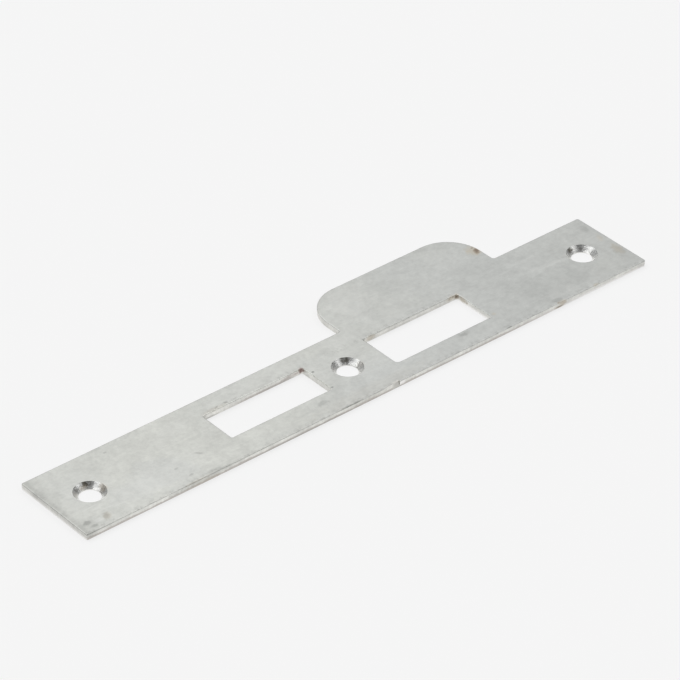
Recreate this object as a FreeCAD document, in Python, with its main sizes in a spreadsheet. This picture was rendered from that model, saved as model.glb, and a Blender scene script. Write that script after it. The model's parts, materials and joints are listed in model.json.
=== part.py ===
"""Door strike plate: a flat blanked steel plate with a lip, two bolt openings and three countersunk holes.

Millimetres, +Z up. The plate lies on its back. The origin is the middle screw hole's axis on the back face.
+X runs along the strip towards the latch end, +Y towards the lip, and the countersunk front face looks up +Z.
"""

import FreeCAD, Part
import math
import os

import Sketcher
from FreeCAD import Vector

SIZES = {
    # strip
    "plate_length": 170.0,
    "plate_width": 24.0,
    "plate_thickness": 1.5,
    "plain_end_radius": 0.4,
    "latch_end_radius": 0.6,
    # lip, a flat tongue on the far long edge
    "lip_start": 8.0,
    "lip_length": 48.8,
    "lip_reach": 14.8,
    "lip_corner_radius": 10.0,
    "lip_root_radius": 0.8,
    # bolt openings, both pierced up to one line on the lip's side
    "opening_far_side": 6.2,
    "opening_corner_radius": 0.4,
    "latch_opening_start": 10.0,
    "latch_opening_length": 29.7,
    "latch_opening_width": 12.2,
    "latch_opening_worn_radius": 1.0,
    "deadbolt_opening_start": 8.5,
    "deadbolt_opening_length": 29.6,
    "deadbolt_opening_width": 10.5,
    # screw holes, sunk until only a thin land is left
    "screw_end_margin": 10.0,
    "screw_hole_diameter": 5.2,
    "countersink_angle": 90.0,
    "countersink_land": 0.2,
    # edges as the press leaves them: rolled over in front, broken out a little towards the back
    "edge_roll_radius": 0.25,
    "breakout_height": 0.6,
    "breakout_width": 0.06,
    # shear mark on the near long edge
    "shear_mark_place": 5.6,
    "shear_droop_length": 6.0,
    "shear_droop_width": 0.35,
    "shear_droop_height": 1.3,
}

FLAT = 1e-6  # points closer than this in height lie on one face

doc = FreeCAD.newDocument("door_strike_plate")
sheet = doc.addObject("Spreadsheet::Sheet", "sizes")
body = doc.addObject("PartDesign::Body", "strike_plate")


class Place:
    """A position summed from sizes, each times a factor: its value, and the expression that keeps it true."""

    def __init__(self, *terms):
        self.value = sum(factor * SIZES[name] for factor, name in terms)
        self.expression = " + ".join(f"{factor} * sizes.{name}" for factor, name in terms) or "0"


NEAR_SIDE = Place((-0.5, "plate_width"))
FAR_SIDE = Place((0.5, "plate_width"))
PLAIN_END = Place((-0.5, "plate_length"))
LATCH_END = Place((0.5, "plate_length"))
LIP_OUTER_SIDE = Place((0.5, "plate_width"), (1, "lip_reach"))
LIP_LEFT_SIDE = Place((1, "lip_start"))
LIP_RIGHT_SIDE = Place((1, "lip_start"), (1, "lip_length"))
FRONT_FACE = Place((1, "plate_thickness"))
OPENING_FAR_SIDE = Place((1, "opening_far_side"))


def fill_sheet():
    """One row for each driving size: its name, its value, and the alias that the features use."""
    for row, (name, value) in enumerate(SIZES.items(), start=1):
        sheet.set(f"A{row}", name)
        sheet.set(f"B{row}", str(value))
        sheet.setAlias(f"B{row}", name)
    doc.recompute()


def new_sketch(name, role, height=None):
    """A sketch on the body's own origin plane of that role, moved along the plane's normal to a Place."""
    sketch = body.newObject("Sketcher::SketchObject", name)
    plane = next(part for part in body.Origin.OriginFeatures if part.Role == role)
    sketch.AttachmentSupport = [(plane, "")]
    sketch.MapMode = "FlatFace"
    if height:
        sketch.setExpression("AttachmentOffset.Base.z", height.expression)
    return sketch


def bind(sketch, kind, geometry, value, expression):
    """Add a dimension to a sketch and tie it to the sheet."""
    index = sketch.addConstraint(Sketcher.Constraint(kind, *geometry, value))
    sketch.setExpression(f"Constraints[{index}]", expression)


def set_point(sketch, line, end, across, up):
    """Hold one end of a line at two Places."""
    bind(sketch, "DistanceX", (-1, 1, line, end), across.value, across.expression)
    bind(sketch, "DistanceY", (-1, 1, line, end), up.value, up.expression)


def corner_arc(before, corner, after, radius):
    """The round between two square sides: the arc, and which of its ends comes first along the outline."""
    way_in = (corner - before).normalize()
    way_out = (after - corner).normalize()
    centre = corner - way_in * radius + way_out * radius
    first, last = corner - way_in * radius, corner + way_out * radius
    turns_left = way_in.cross(way_out).z > 0
    start, end = (first, last) if turns_left else (last, first)
    angles = [math.atan2(point.y - centre.y, point.x - centre.x) for point in (start, end)]
    circle = Part.Circle(centre, Vector(0, 0, 1), radius)
    return Part.ArcOfCircle(circle, *angles), (1, 2) if turns_left else (2, 1)


def rounded_outline(sketch, sides, radii):
    """A closed outline of square sides, anticlockwise, with radii[i] at the end of sides[i].

    Each side is ("x", Place) or ("y", Place), and each radius is a size's name.
    """
    count = len(sides)
    corners = []
    for i in range(count):
        here, following = sides[i], sides[(i + 1) % count]
        by_axis = {here[0]: here[1].value, following[0]: following[1].value}
        corners.append(Vector(by_axis["x"], by_axis["y"], 0))
    lines, arcs = [], []
    for i in range(count):
        way = (corners[i] - corners[i - 1]).normalize()
        start = corners[i - 1] + way * SIZES[radii[i - 1]]
        end = corners[i] - way * SIZES[radii[i]]
        lines.append(sketch.addGeometry(Part.LineSegment(start, end)))
    for i in range(count):
        arc, ends = corner_arc(corners[i - 1], corners[i], corners[(i + 1) % count], SIZES[radii[i]])
        arcs.append((sketch.addGeometry(arc), ends))
    for i in range(count):
        arc, (first, last) = arcs[i]
        sketch.addConstraint(Sketcher.Constraint("Tangent", lines[i], 2, arc, first))
        sketch.addConstraint(Sketcher.Constraint("Tangent", arc, last, lines[(i + 1) % count], 1))
    for i, (axis, place) in enumerate(sides):
        sketch.addConstraint(Sketcher.Constraint("Vertical" if axis == "x" else "Horizontal", lines[i]))
        kind = "DistanceX" if axis == "x" else "DistanceY"
        bind(sketch, kind, (-1, 1, lines[i], 1), place.value, place.expression)
        bind(sketch, "Radius", (arcs[i][0],), SIZES[radii[i]], f"sizes.{radii[i]}")


def edges_at_height(feature, height):
    """The names of the edges in one face, all round the outline and the openings."""
    doc.recompute()
    flat = []
    for number, edge in enumerate(feature.Shape.Edges, start=1):
        box = edge.BoundBox
        if abs(box.ZMin - height) < FLAT and abs(box.ZMax - height) < FLAT:
            flat.append(f"Edge{number}")
    return flat


def led_by_flat_face(feature, edge_name):
    """Whether the flat face is this edge's first face, in which a chamfer lays its first distance."""
    edge = feature.Shape.getElement(edge_name)
    first_face = feature.Shape.ancestorsOfType(edge, Part.Face)[0]
    return first_face.BoundBox.ZLength < FLAT


def make_blank():
    """The strip and its lip, stamped from sheet as one outline."""
    sketch = new_sketch("blank_outline", "XY_Plane")
    rounded_outline(
        sketch,
        [
            ("y", NEAR_SIDE),
            ("x", LATCH_END),
            ("y", FAR_SIDE),
            ("x", LIP_RIGHT_SIDE),
            ("y", LIP_OUTER_SIDE),
            ("x", LIP_LEFT_SIDE),
            ("y", FAR_SIDE),
            ("x", PLAIN_END),
        ],
        [
            "latch_end_radius",
            "latch_end_radius",
            "lip_root_radius",
            "lip_corner_radius",
            "lip_corner_radius",
            "lip_root_radius",
            "plain_end_radius",
            "plain_end_radius",
        ],
    )
    pad = body.newObject("PartDesign::Pad", "blank")
    pad.Profile = sketch
    pad.setExpression("Length", "sizes.plate_thickness")


def make_opening(name, left, right, width, near_left_radius):
    """Pierce one rectangular opening, from the common far side towards the near edge."""
    sketch = new_sketch(f"{name}_outline", "XY_Plane")
    near = Place((1, "opening_far_side"), (-1, width))
    corner = "opening_corner_radius"
    sides = [("y", near), ("x", right), ("y", OPENING_FAR_SIDE), ("x", left)]
    rounded_outline(sketch, sides, [corner, corner, corner, near_left_radius])
    pocket = body.newObject("PartDesign::Pocket", name)
    pocket.Profile = sketch
    pocket.Type = "ThroughAll"
    pocket.Reversed = True
    return pocket


def make_openings():
    """The latch opening under the lip and the deadbolt opening on the other side of the middle screw."""
    make_opening(
        "latch_opening",
        Place((1, "latch_opening_start")),
        Place((1, "latch_opening_start"), (1, "latch_opening_length")),
        "latch_opening_width",
        "latch_opening_worn_radius",
    )
    return make_opening(
        "deadbolt_opening",
        Place((-1, "deadbolt_opening_start"), (-1, "deadbolt_opening_length")),
        Place((-1, "deadbolt_opening_start")),
        "deadbolt_opening_width",
        "opening_corner_radius",
    )


def make_pressed_edges(pierced):
    """The punch rolls the front edges over, and the sheet breaks out slightly on its way to the back."""
    roll = body.newObject("PartDesign::Fillet", "edge_roll")
    roll.Base = (pierced, edges_at_height(pierced, FRONT_FACE.value))
    roll.setExpression("Radius", "sizes.edge_roll_radius")
    back_edges = [name for name in edges_at_height(roll, 0.0) if led_by_flat_face(roll, name)]
    breakout = body.newObject("PartDesign::Chamfer", "breakout")
    breakout.Base = (roll, back_edges)
    breakout.ChamferType = "Two distances"
    breakout.setExpression("Size", "sizes.breakout_width")
    breakout.setExpression("Size2", "sizes.breakout_height")


def make_shear_mark():
    """Where two shear strokes meet, the front face droops over the near edge and then starts afresh."""
    mouth = new_sketch("shear_droop_mouth", "YZ_Plane", Place((1, "shear_mark_place")))
    low = Place((1, "plate_thickness"), (-1, "shear_droop_height"))
    inner = Place((-0.5, "plate_width"), (1, "shear_droop_width"))
    corners = [(NEAR_SIDE, FRONT_FACE), (NEAR_SIDE, low), (inner, FRONT_FACE)]
    for i in range(3):
        (across, up), (next_across, next_up) = corners[i], corners[(i + 1) % 3]
        start, end = Vector(across.value, up.value, 0), Vector(next_across.value, next_up.value, 0)
        mouth.addGeometry(Part.LineSegment(start, end))
    for i in range(3):
        mouth.addConstraint(Sketcher.Constraint("Coincident", i, 2, (i + 1) % 3, 1))
        set_point(mouth, i, 1, *corners[i])
    droop_start = Place((1, "shear_mark_place"), (-1, "shear_droop_length"))
    tip = new_sketch("shear_droop_tip", "YZ_Plane", droop_start)
    tip.addGeometry(Part.Point(Vector(NEAR_SIDE.value, FRONT_FACE.value, 0)))
    set_point(tip, 0, 1, NEAR_SIDE, FRONT_FACE)
    droop = body.newObject("PartDesign::SubtractiveLoft", "shear_droop")
    droop.Profile = mouth
    droop.Sections = [tip]
    droop.Ruled = True
    doc.recompute()


def make_screw_holes():
    """Three countersunk holes on the centre line: one in the middle and one towards each end."""
    sketch = new_sketch("screw_hole_centres", "XY_Plane", FRONT_FACE)
    plain_end_hole = Place((-0.5, "plate_length"), (1, "screw_end_margin"))
    latch_end_hole = Place((0.5, "plate_length"), (-1, "screw_end_margin"))
    centres = [plain_end_hole, Place(), latch_end_hole]
    for number, centre in enumerate(centres):
        circle = Part.Circle(Vector(centre.value, 0, 0), Vector(0, 0, 1), SIZES["screw_hole_diameter"] / 2)
        sketch.addGeometry(circle)
        set_point(sketch, number, 3, centre, Place())
        bind(sketch, "Diameter", (number,), SIZES["screw_hole_diameter"], "sizes.screw_hole_diameter")
    doc.recompute()
    holes = body.newObject("PartDesign::Hole", "screw_holes")
    holes.Profile = sketch
    doc.recompute()
    holes.Threaded = False
    holes.DepthType = "ThroughAll"
    holes.HoleCutType = "Countersink"
    holes.HoleCutCustomValues = True
    holes.setExpression("Diameter", "sizes.screw_hole_diameter")
    holes.setExpression("HoleCutCountersinkAngle", "sizes.countersink_angle")
    sunk = "(sizes.plate_thickness - sizes.countersink_land)"
    spread = f"2 * {sunk} * tan(sizes.countersink_angle / 2)"
    holes.setExpression("HoleCutDiameter", f"sizes.screw_hole_diameter + {spread}")
    doc.recompute()


def check_document():
    """Every object is sound, and each cut really takes metal away."""
    for thing in doc.Objects:
        if {"Invalid", "Error"} & set(thing.State):
            raise RuntimeError(f"{thing.Name} failed: {thing.State}")
    shape = body.Shape
    if shape.isNull() or not shape.isValid() or len(shape.Solids) != 1:
        raise RuntimeError("the plate isn't one sound solid")
    features = [thing for thing in body.Group if thing.isDerivedFrom("PartDesign::Feature")]
    for before, after in zip(features, features[1:]):
        if after.Shape.Volume >= before.Shape.Volume:
            raise RuntimeError(f"{after.Name} takes nothing away")


fill_sheet()
make_blank()
make_pressed_edges(make_openings())
make_shear_mark()
make_screw_holes()
body.Label = "strike_plate"
body.Placement = FreeCAD.Placement()
doc.recompute()
check_document()
os.makedirs("parts", exist_ok=True)
body.Shape.exportStep(f"parts/{body.Label}.step")
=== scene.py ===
import json
import math

import bpy
from bpy.props import FloatProperty, FloatVectorProperty, PointerProperty
from bpy.types import Operator, Panel, PropertyGroup
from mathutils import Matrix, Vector


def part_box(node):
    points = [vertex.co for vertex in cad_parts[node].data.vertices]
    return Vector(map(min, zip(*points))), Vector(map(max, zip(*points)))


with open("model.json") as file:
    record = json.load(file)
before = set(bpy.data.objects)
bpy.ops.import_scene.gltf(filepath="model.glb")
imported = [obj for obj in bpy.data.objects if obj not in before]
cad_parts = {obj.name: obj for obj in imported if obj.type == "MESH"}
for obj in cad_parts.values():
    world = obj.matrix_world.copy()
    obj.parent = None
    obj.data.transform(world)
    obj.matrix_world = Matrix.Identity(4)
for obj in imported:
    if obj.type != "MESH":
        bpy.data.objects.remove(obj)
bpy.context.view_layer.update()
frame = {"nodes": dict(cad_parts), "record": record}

bl_info = {
    "name": "Door Strike Plate",
    "version": (1, 0, 0),
    "blender": (4, 5, 0),
    "location": "View3D > Sidebar > Strike Plate",
    "description": "Worn zinc finish, studio and camera for a flat door strike plate",
    "category": "Object",
}

MM = 0.001
PLATE = frame["nodes"]["strike_plate"]
PLATE_LOW, PLATE_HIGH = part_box("strike_plate")
THICKNESS = PLATE_HIGH.z
MOUNTS = {mount["name"]: mount for mount in frame["record"]["mounts"]}
SCREW_NAMES = ("plain_end_screw", "middle_screw", "latch_end_screw")
SCREW_CENTRES = [Vector(MOUNTS[name]["pos_m"]) for name in SCREW_NAMES]
SCREW_RADIUS = MOUNTS["middle_screw"]["dims"]["r_mm"] * MM
LAND = MOUNTS["middle_screw"]["dims"]["length_mm"] * MM
COUNTERSINK_RADIUS = SCREW_RADIUS + THICKNESS - LAND
FLOOR_GAP = 0.02 * MM

# The front face droops over the near edge towards the place where two shear strokes meet.
SHEAR_DROOP_START = 3.0 * MM
SHEAR_MARK = 5.6 * MM
RESTART_HEIGHTS = ((0.25 * MM, 0.5 * MM), (1.45 * MM, 1.25 * MM))

# Where a look begins and where it is in full. A stretch with two ends has one such pair for each.
NEAR_EDGE = (-11.0 * MM, -11.4 * MM)
NEAR_WALL = (-11.8 * MM, -11.9 * MM)
OUTSIDE_OPENINGS = (7 * MM, 9 * MM)
PLAIN_END_WALL = (PLATE_LOW.x + 0.3 * MM, PLATE_LOW.x + 0.1 * MM)
LATCH_RIGHT_WALL = (30 * MM, 31 * MM)
RIGHT_NEAR_EDGE = (35 * MM, 70 * MM)
FOOT_HEIGHTS = (0.85 * MM, 0.1 * MM)
TORN_FADES = (40 * MM, 66 * MM)
LIP_REACH = (15 * MM, 19 * MM)
LIP_LEFT = (22 * MM, 14 * MM)
LEFT_NEAR_RIM = ((-79 * MM, -73 * MM), (-57 * MM, -63 * MM))
RIGHT_NEAR_RIM = (SHEAR_MARK, 8.5 * MM)
BESIDE_DEADBOLT = ((-13 * MM, -11 * MM), (-5 * MM, -7 * MM))
BESIDE_LATCH = ((39 * MM, 39.5 * MM), (41.5 * MM, 40.5 * MM))
BESIDE_LATCH_REACH = (3.6 * MM, 2.6 * MM)
BETWEEN_OPENINGS = (-5 * MM, 5 * MM)

# Painted light and shade on the rolled rims and the cut walls: factors on their colour that lift the rims
# against the dim patches they reflect, and set each wall's brightness by the way it faces. At 1 they are as
# bright as the shade around them.
LIP_RIM_GAIN = 0.17
RIGHT_RIM_GAIN = 0.16
LEFT_RIM_GAIN = 0.2
LATCH_RIM_GAIN = 0.08
SIDE_RIM_LEVEL = 1.38
FAR_RIM_LEVELS = (1.4, 1.27)
INNER_WALL_LEVELS = (0.9, 0.97)
OUTER_WALL_LEVELS = (1.0, 0.92)

# The upper line of the torn walls: how far it wanders, how deep its jags are and how soft it is.
TORN_WANDER = 0.35 * MM
TORN_JAGS = 0.07 * MM
TORN_RIM = 0.1 * MM
WEAKEST_TEAR = 0.12

# Dirt held along the rims. It lies past the openings' far side too, and has worn off at one place there.
NEAR_BORDER = (-10 * MM, -11.5 * MM)
PLAIN_END_BORDER = (PLATE_LOW.x + 2 * MM, PLATE_LOW.x + 0.5 * MM)
GRIME_LINE = 6.6 * MM
GRIME_REACH = (1.0 * MM, 0.4 * MM)
GRIME_STRETCH = ((-39 * MM, -37 * MM), (41 * MM, 39 * MM))
WORN_PLACE = -22 * MM
WORN_REACH = (4 * MM, 7 * MM)

# Most of a noise lies between these two values.
SPREAD = (0.25, 0.75)

# The depth of the fine relief, and the waves that the cutter left round the countersinks.
FACE_GRAIN_DEPTH = 0.004 * MM
LINE_DEPTH = 0.002 * MM
CUT_GRAIN_DEPTH = 0.12 * MM
TORN_DEPTH = 0.02 * MM
CHATTER_DEPTH = 0.016 * MM
CHATTER_WAVES = 9.0
CHATTER_WANDER = 8.0

TORN_ROUGHNESS = 0.6
DULL_RIM_ROUGHNESS = 0.85
DIRT_ROUGHNESS = 0.65
RUST_METALLIC = 0.2

# Where a mark begins and is in full, and where its heart does, as a share of the way from centre to rim, and how
# far a ragged rim is pushed in and out.
MARK_RIM = (1.3, 0.45)
MARK_HEART = (0.85, 0.2)
RAGGED_PUSH = 4.0

# Marks in millimetres, each an ellipsoid: its centre, its length, width and height, its turn in degrees about
# the vertical, how ragged its rim is and how strong it is. A height of THROUGH goes right through the plate.
THROUGH = 9
RUST_SPOTS = {
    "lip_shoulder": ((56.0, 17.2, 1.5), (3.9, 2.5, THROUGH), 49, 0.35, 0.85),
    "lip_shoulder_speck": ((55.8, 18.7, 1.5), (1.3, 0.9, THROUGH), 20, 0.3, 0.55),
    "latch_far_corner": ((39.5, 6.0, 0.9), (1.5, 1.4, 1.6), 0, 0.35, 0.75),
    "latch_far_wall_dot": ((38.4, 6.2, 1.1), (0.7, 0.8, 0.7), 0, 0.3, 0.38),
    "latch_far_wall_second_dot": ((37.3, 6.2, 0.9), (0.7, 0.8, 0.6), 0, 0.3, 0.38),
    "latch_right_wall": ((39.7, 2.6, 0.7), (0.9, 0.9, 0.8), 0, 0.3, 0.4),
    "near_edge_low": ((56.2, -12.0, 0.4), (3.6, 0.8, 0.6), 0, 0.25, 0.65),
    "near_edge_rim": ((56.0, -11.8, 1.5), (1.0, 0.5, 0.6), 0, 0.25, 0.5),
}
RED_STAINS = {
    "deadbolt_far_corner": ((-8.9, 6.2, 1.0), (1.6, 1.2, 1.4), 0, 0.35, 0.85),
    "deadbolt_far_corner_side": ((-10.4, 6.2, 0.8), (1.8, 0.9, 0.9), 0, 0.3, 0.4),
    "deadbolt_far_wall": ((-12.6, 6.2, 0.8), (5.4, 0.9, 1.1), 0, 0.35, 0.24),
    "deadbolt_wall_foot": ((-20.0, 6.2, 0.35), (19.0, 0.8, 0.8), 0, 0.35, 0.22),
}
TAN_FILMS = {
    "lip_shoulder": ((55.4, 17.7, 1.5), (4.6, 3.8, THROUGH), 49, 0.45, 0.45),
    "lip_rim": ((56.9, 17.5, 1.5), (2.2, 1.0, THROUGH), 49, 0.3, 0.6),
    "latch_far_wall": ((37.9, 6.1, 1.0), (3.0, 1.2, 1.4), 0, 0.35, 0.5),
    "latch_right_wall": ((39.7, 4.2, 0.9), (1.0, 2.6, 1.5), 0, 0.35, 0.5),
    "latch_far_left": ((12.3, 6.2, 0.9), (3.4, 1.0, 1.6), 0, 0.35, 0.45),
    "latch_near_right": ((41.0, -5.5, 1.5), (1.2, 1.0, THROUGH), 0, 0.5, 0.3),
    "near_edge": ((57.3, -12.0, 1.1), (2.6, 1.3, 1.4), 0, 0.35, 0.55),
    "near_edge_right": ((68.4, -11.8, 1.4), (2.2, 0.8, 0.7), 0, 0.35, 0.4),
    "near_edge_left_run": ((-52.0, -12.0, 0.5), (11.0, 0.7, 1.1), 0, 0.35, 0.22),
    "near_edge_left_rim": ((-54.0, -11.9, 1.4), (8.0, 0.5, 0.6), 0, 0.35, 0.2),
    "deadbolt_far_left": ((-34.5, 6.6, 1.5), (7.0, 1.3, 1.2), 0, 0.4, 0.14),
    "near_edge_middle": ((-2.0, -10.4, 1.5), (36.0, 4.6, THROUGH), 0, 0.5, 0.07),
    "shear_mark_run": ((-0.5, -12.0, 0.9), (6.0, 0.6, 0.7), 0, 0.35, 0.1),
    "right_end_near": ((83.2, -4.0, 1.5), (5.0, 2.6, THROUGH), 80, 0.6, 0.25),
    "right_end": ((83.2, 2.4, 1.5), (3.0, 1.6, THROUGH), 70, 0.5, 0.22),
    "left_near": ((-77.3, -9.3, 1.5), (2.8, 1.9, THROUGH), 60, 0.5, 0.2),
    "plain_end_countersink": ((-71.6, -0.4, 1.2), (1.6, 3.0, 2.4), 0, 0.35, 0.35),
    "plain_end_countersink_far": ((-74.6, 2.9, 0.6), (2.4, 1.0, 1.2), 0, 0.35, 0.4),
    "middle_countersink": ((3.2, -0.6, 1.2), (1.5, 2.6, 2.4), 0, 0.35, 0.2),
}
# Dull grey handling marks, and painted shade: the near wall's foot is darkened as torn metal and painted contact
# shade, and two painted dark reflection lines run along the latch opening's far wall.
SMUDGES = {
    "left_tip": ((-82.5, -8.6, 1.5), (2.3, 1.5, THROUGH), 20, 0.5, 0.52),
    "left_tip_second": ((-81.6, -10.3, 1.5), (1.7, 1.1, THROUGH), 0, 0.5, 0.46),
    "left_tip_halo": ((-82.2, -9.3, 1.5), (4.4, 3.8, THROUGH), 0, 0.6, 0.16),
    "left_near": ((-77.5, -9.2, 1.5), (2.5, 1.5, THROUGH), 65, 0.55, 0.45),
    "above_first_hole": ((-63.7, 9.3, 1.5), (1.0, 0.6, THROUGH), 0, 0.4, 0.35),
    "strip_middle": ((-47.6, -4.1, 1.5), (2.1, 0.5, THROUGH), -41, 0.4, 0.42),
    "strip_middle_end": ((-47.2, -4.5, 1.5), (0.9, 0.6, THROUGH), 0, 0.4, 0.35),
    "near_edge_dull_run": ((-55.5, -12.0, 0.95), (14.0, 0.7, 1.3), 0, 0.3, 0.33),
    "near_edge_dull_second_run": ((-47.4, -11.9, 1.1), (8.5, 1.0, 1.6), 0, 0.3, 0.33),
    # the near wall's foot: torn metal, darkened further as painted contact shade
    "near_edge_foot": ((-22.0, -12.0, 0.1), (44.0, 0.7, 0.6), 0, 0.3, 0.25),
    "near_tip": ((-83.2, -12.0, 1.0), (3.6, 1.6, 1.8), 0, 0.3, 0.3),
    "right_tip": ((83.8, -12.0, 0.8), (3.6, 0.9, 1.8), 0, 0.3, 0.25),
    "beside_near_film": ((56.6, -10.9, 1.5), (3.6, 1.7, THROUGH), 0, 0.45, 0.36),
    "strip_near": ((-53.8, -9.3, 1.5), (1.5, 0.6, THROUGH), 10, 0.5, 0.35),
    "strip_far": ((-55.0, -5.5, 1.5), (1.2, 0.5, THROUGH), 10, 0.5, 0.3),
    "near_rim_run": ((-49.0, -11.2, 1.5), (4.5, 1.0, THROUGH), 0, 0.5, 0.3),
    "under_latch": ((29.6, -7.3, 1.5), (3.2, 1.6, THROUGH), 5, 0.6, 0.42),
    "under_deadbolt": ((-13.6, -7.3, 1.5), (3.6, 1.5, THROUGH), 5, 0.6, 0.34),
    "right_end_far": ((83.0, 7.4, 1.5), (3.0, 1.7, THROUGH), 70, 0.6, 0.26),
    "right_end_near": ((83.0, -4.4, 1.5), (5.0, 3.0, THROUGH), 85, 0.6, 0.33),
    "beside_deadbolt": ((-7.6, 3.5, 1.5), (0.85, 0.7, THROUGH), 0, 0.35, 0.8),
    "deadbolt_near_right": ((-8.0, -3.9, 1.5), (0.85, 0.6, THROUGH), 0, 0.35, 0.75),
    "lip_root": ((7.4, 14.2, 1.5), (3.2, 0.7, THROUGH), 85, 0.5, 0.4),
    "deadbolt_nick": ((-33.5, 6.9, 1.5), (1.4, 0.55, THROUGH), 30, 0.4, 0.5),
    "deadbolt_second_nick": ((-30.8, 7.1, 1.5), (1.2, 0.55, THROUGH), -20, 0.4, 0.45),
    "deadbolt_far_left": ((-37.9, 6.0, 0.7), (1.6, 1.2, 1.4), 0, 0.35, 0.5),
    "deadbolt_wall_foot": ((-36.0, 6.2, 0.2), (5.0, 0.8, 0.7), 0, 0.25, 0.35),
    "deadbolt_wall_foot_right": ((-17.5, 6.2, 0.3), (13.0, 0.8, 0.8), 0, 0.3, 0.25),
    "lip_left_wall": ((8.0, 17.0, 0.7), (0.9, 9.0, 2.4), 0, 0.3, 0.17),
    "middle_of_right_part": ((61.0, -4.5, 1.5), (24.0, 9.0, THROUGH), 0, 0.8, 0.09),
    "right_of_lip": ((47.0, 9.0, 1.5), (10.0, 7.0, THROUGH), 30, 0.8, 0.035),
    "lip_middle": ((31.0, 19.0, 1.5), (16.0, 10.0, THROUGH), 0, 0.8, 0.03),
    "left_of_latch": ((-1.0, 8.0, 1.5), (7.0, 2.0, THROUGH), 10, 0.7, 0.1),
    # Two painted dark reflection lines along the latch opening's far wall.
    "latch_far_wall_upper_line": ((23.0, 6.2, 1.3), (28.0, 0.9, 0.5), 0, 0.25, 0.16),
    "latch_far_wall_lower_line": ((22.0, 6.2, 0.42), (25.0, 0.9, 0.35), 0, 0.25, 0.12),
    "latch_far_left_corner": ((10.2, 6.0, 1.1), (1.2, 1.2, 1.2), 0, 0.3, 0.5),
}
PALE_RUBS = {
    "left_scratch": ((-78.4, -4.6, 1.5), (5.0, 0.5, THROUGH), 2, 0.35, 0.35),
    "left_second_scratch": ((-77.2, -5.7, 1.5), (4.2, 0.45, THROUGH), 2, 0.35, 0.3),
    "left_rub": ((-79.9, -9.3, 1.5), (2.2, 1.4, THROUGH), 0, 0.6, 0.4),
    "left_third_scratch": ((-75.5, -6.9, 1.5), (6.0, 0.4, THROUGH), -6, 0.35, 0.25),
    "left_tip_rub": ((-80.5, -2.0, 1.5), (4.0, 7.0, THROUGH), 0, 0.8, 0.15),
    "strip_rub": ((-61.0, -6.0, 1.5), (24.0, 8.0, THROUGH), 6, 0.8, 0.2),
    "strip_far_rub": ((-46.0, 7.0, 1.5), (14.0, 5.0, THROUGH), 20, 0.8, 0.12),
    # lifts the face above the deadbolt opening a little
    "above_deadbolt_rub": ((-22.0, 9.3, 1.5), (36.0, 6.0, THROUGH), 0, 0.8, 0.14),
    "lip_rub": ((17.0, 19.5, 1.5), (15.0, 11.0, THROUGH), 60, 0.7, 0.22),
    "lip_root_rub": ((5.0, 9.5, 1.5), (12.0, 5.0, THROUGH), 0, 0.8, 0.15),
    "right_streak": ((65.5, 1.5, 1.5), (14.0, 1.8, THROUGH), -7, 0.8, 0.2),
    "right_second_streak": ((61.0, 6.6, 1.5), (10.0, 1.3, THROUGH), -4, 0.8, 0.16),
}
COOL_PATCHES = {
    "left_near": ((-63.0, -5.5, 1.5), (29.0, 13.0, THROUGH), 0, 0.8, 0.55),
    "beside_middle_screw": ((-2.0, 4.0, 1.5), (20.0, 12.0, THROUGH), 0, 0.7, 0.5),
}

# Marks down the slope of the countersinks: the screw, the angle round its axis in degrees, the width in
# millimetres and the strength.
CUT_MARK_RADIUS = SCREW_RADIUS + 0.95 * MM
CUT_MARK_LENGTH = 1.8 * MM
CUT_MARK_RAGGED = 0.4
# Dark residue on the countersinks, deepened where they reflect the room's dim patch: part stain, part painted
# dark reflection.
CUT_STAINS = {
    "plain_end_far": ("plain_end_screw", 68, 2.8, 1.0),
    "plain_end_far_left": ("plain_end_screw", 119, 1.3, 0.6),
    "plain_end_right": ("plain_end_screw", -6, 1.4, 0.25),
    "middle_far": ("middle_screw", 61, 2.5, 0.85),
    "middle_far_left": ("middle_screw", 115, 1.3, 0.7),
    "latch_end_far": ("latch_end_screw", 51, 2.0, 0.4),
    "latch_end_far_left": ("latch_end_screw", 106, 2.0, 0.85),
}
# Painted glints: the bright gaps between the countersinks' dark marks.
CUT_RUBS = {
    "plain_end_gap": ("plain_end_screw", 100, 0.8, 0.35),
    "middle_gap": ("middle_screw", 91, 1.1, 0.8),
    "latch_end_gap": ("latch_end_screw", 77, 1.4, 0.8),
}

# The direction, from a screw hole's axis, of the countersinks' side that gets a painted highlight and the faces'
# roughness: the side towards the camera.
RUBBED_SIDE = (-0.674, -0.739, 0.0)

# The studio's light, in degrees. A patch has its turn from +X towards +Y, its height above the floor, its
# half angle, its softness and how much light it adds or takes away. The low band is dimmest under its first
# height and ends at its second.
ROOM_LEVEL = 1.29
DARKEST_LEVEL = 0.13
SOFT_BOXES = {
    "overhead": ((100, 66), 20, 8, 0.5),
    "right": ((329, 45), 15.6, 4, 1.43),
}
DIM_PATCHES = {
    "behind_camera": ((233, 44), 30, 8, 0.76),
    "over_right": ((321, 60), 30, 7, 0.6),
}
LOW_BAND = (28.8, 35.9, 0.69)


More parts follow.
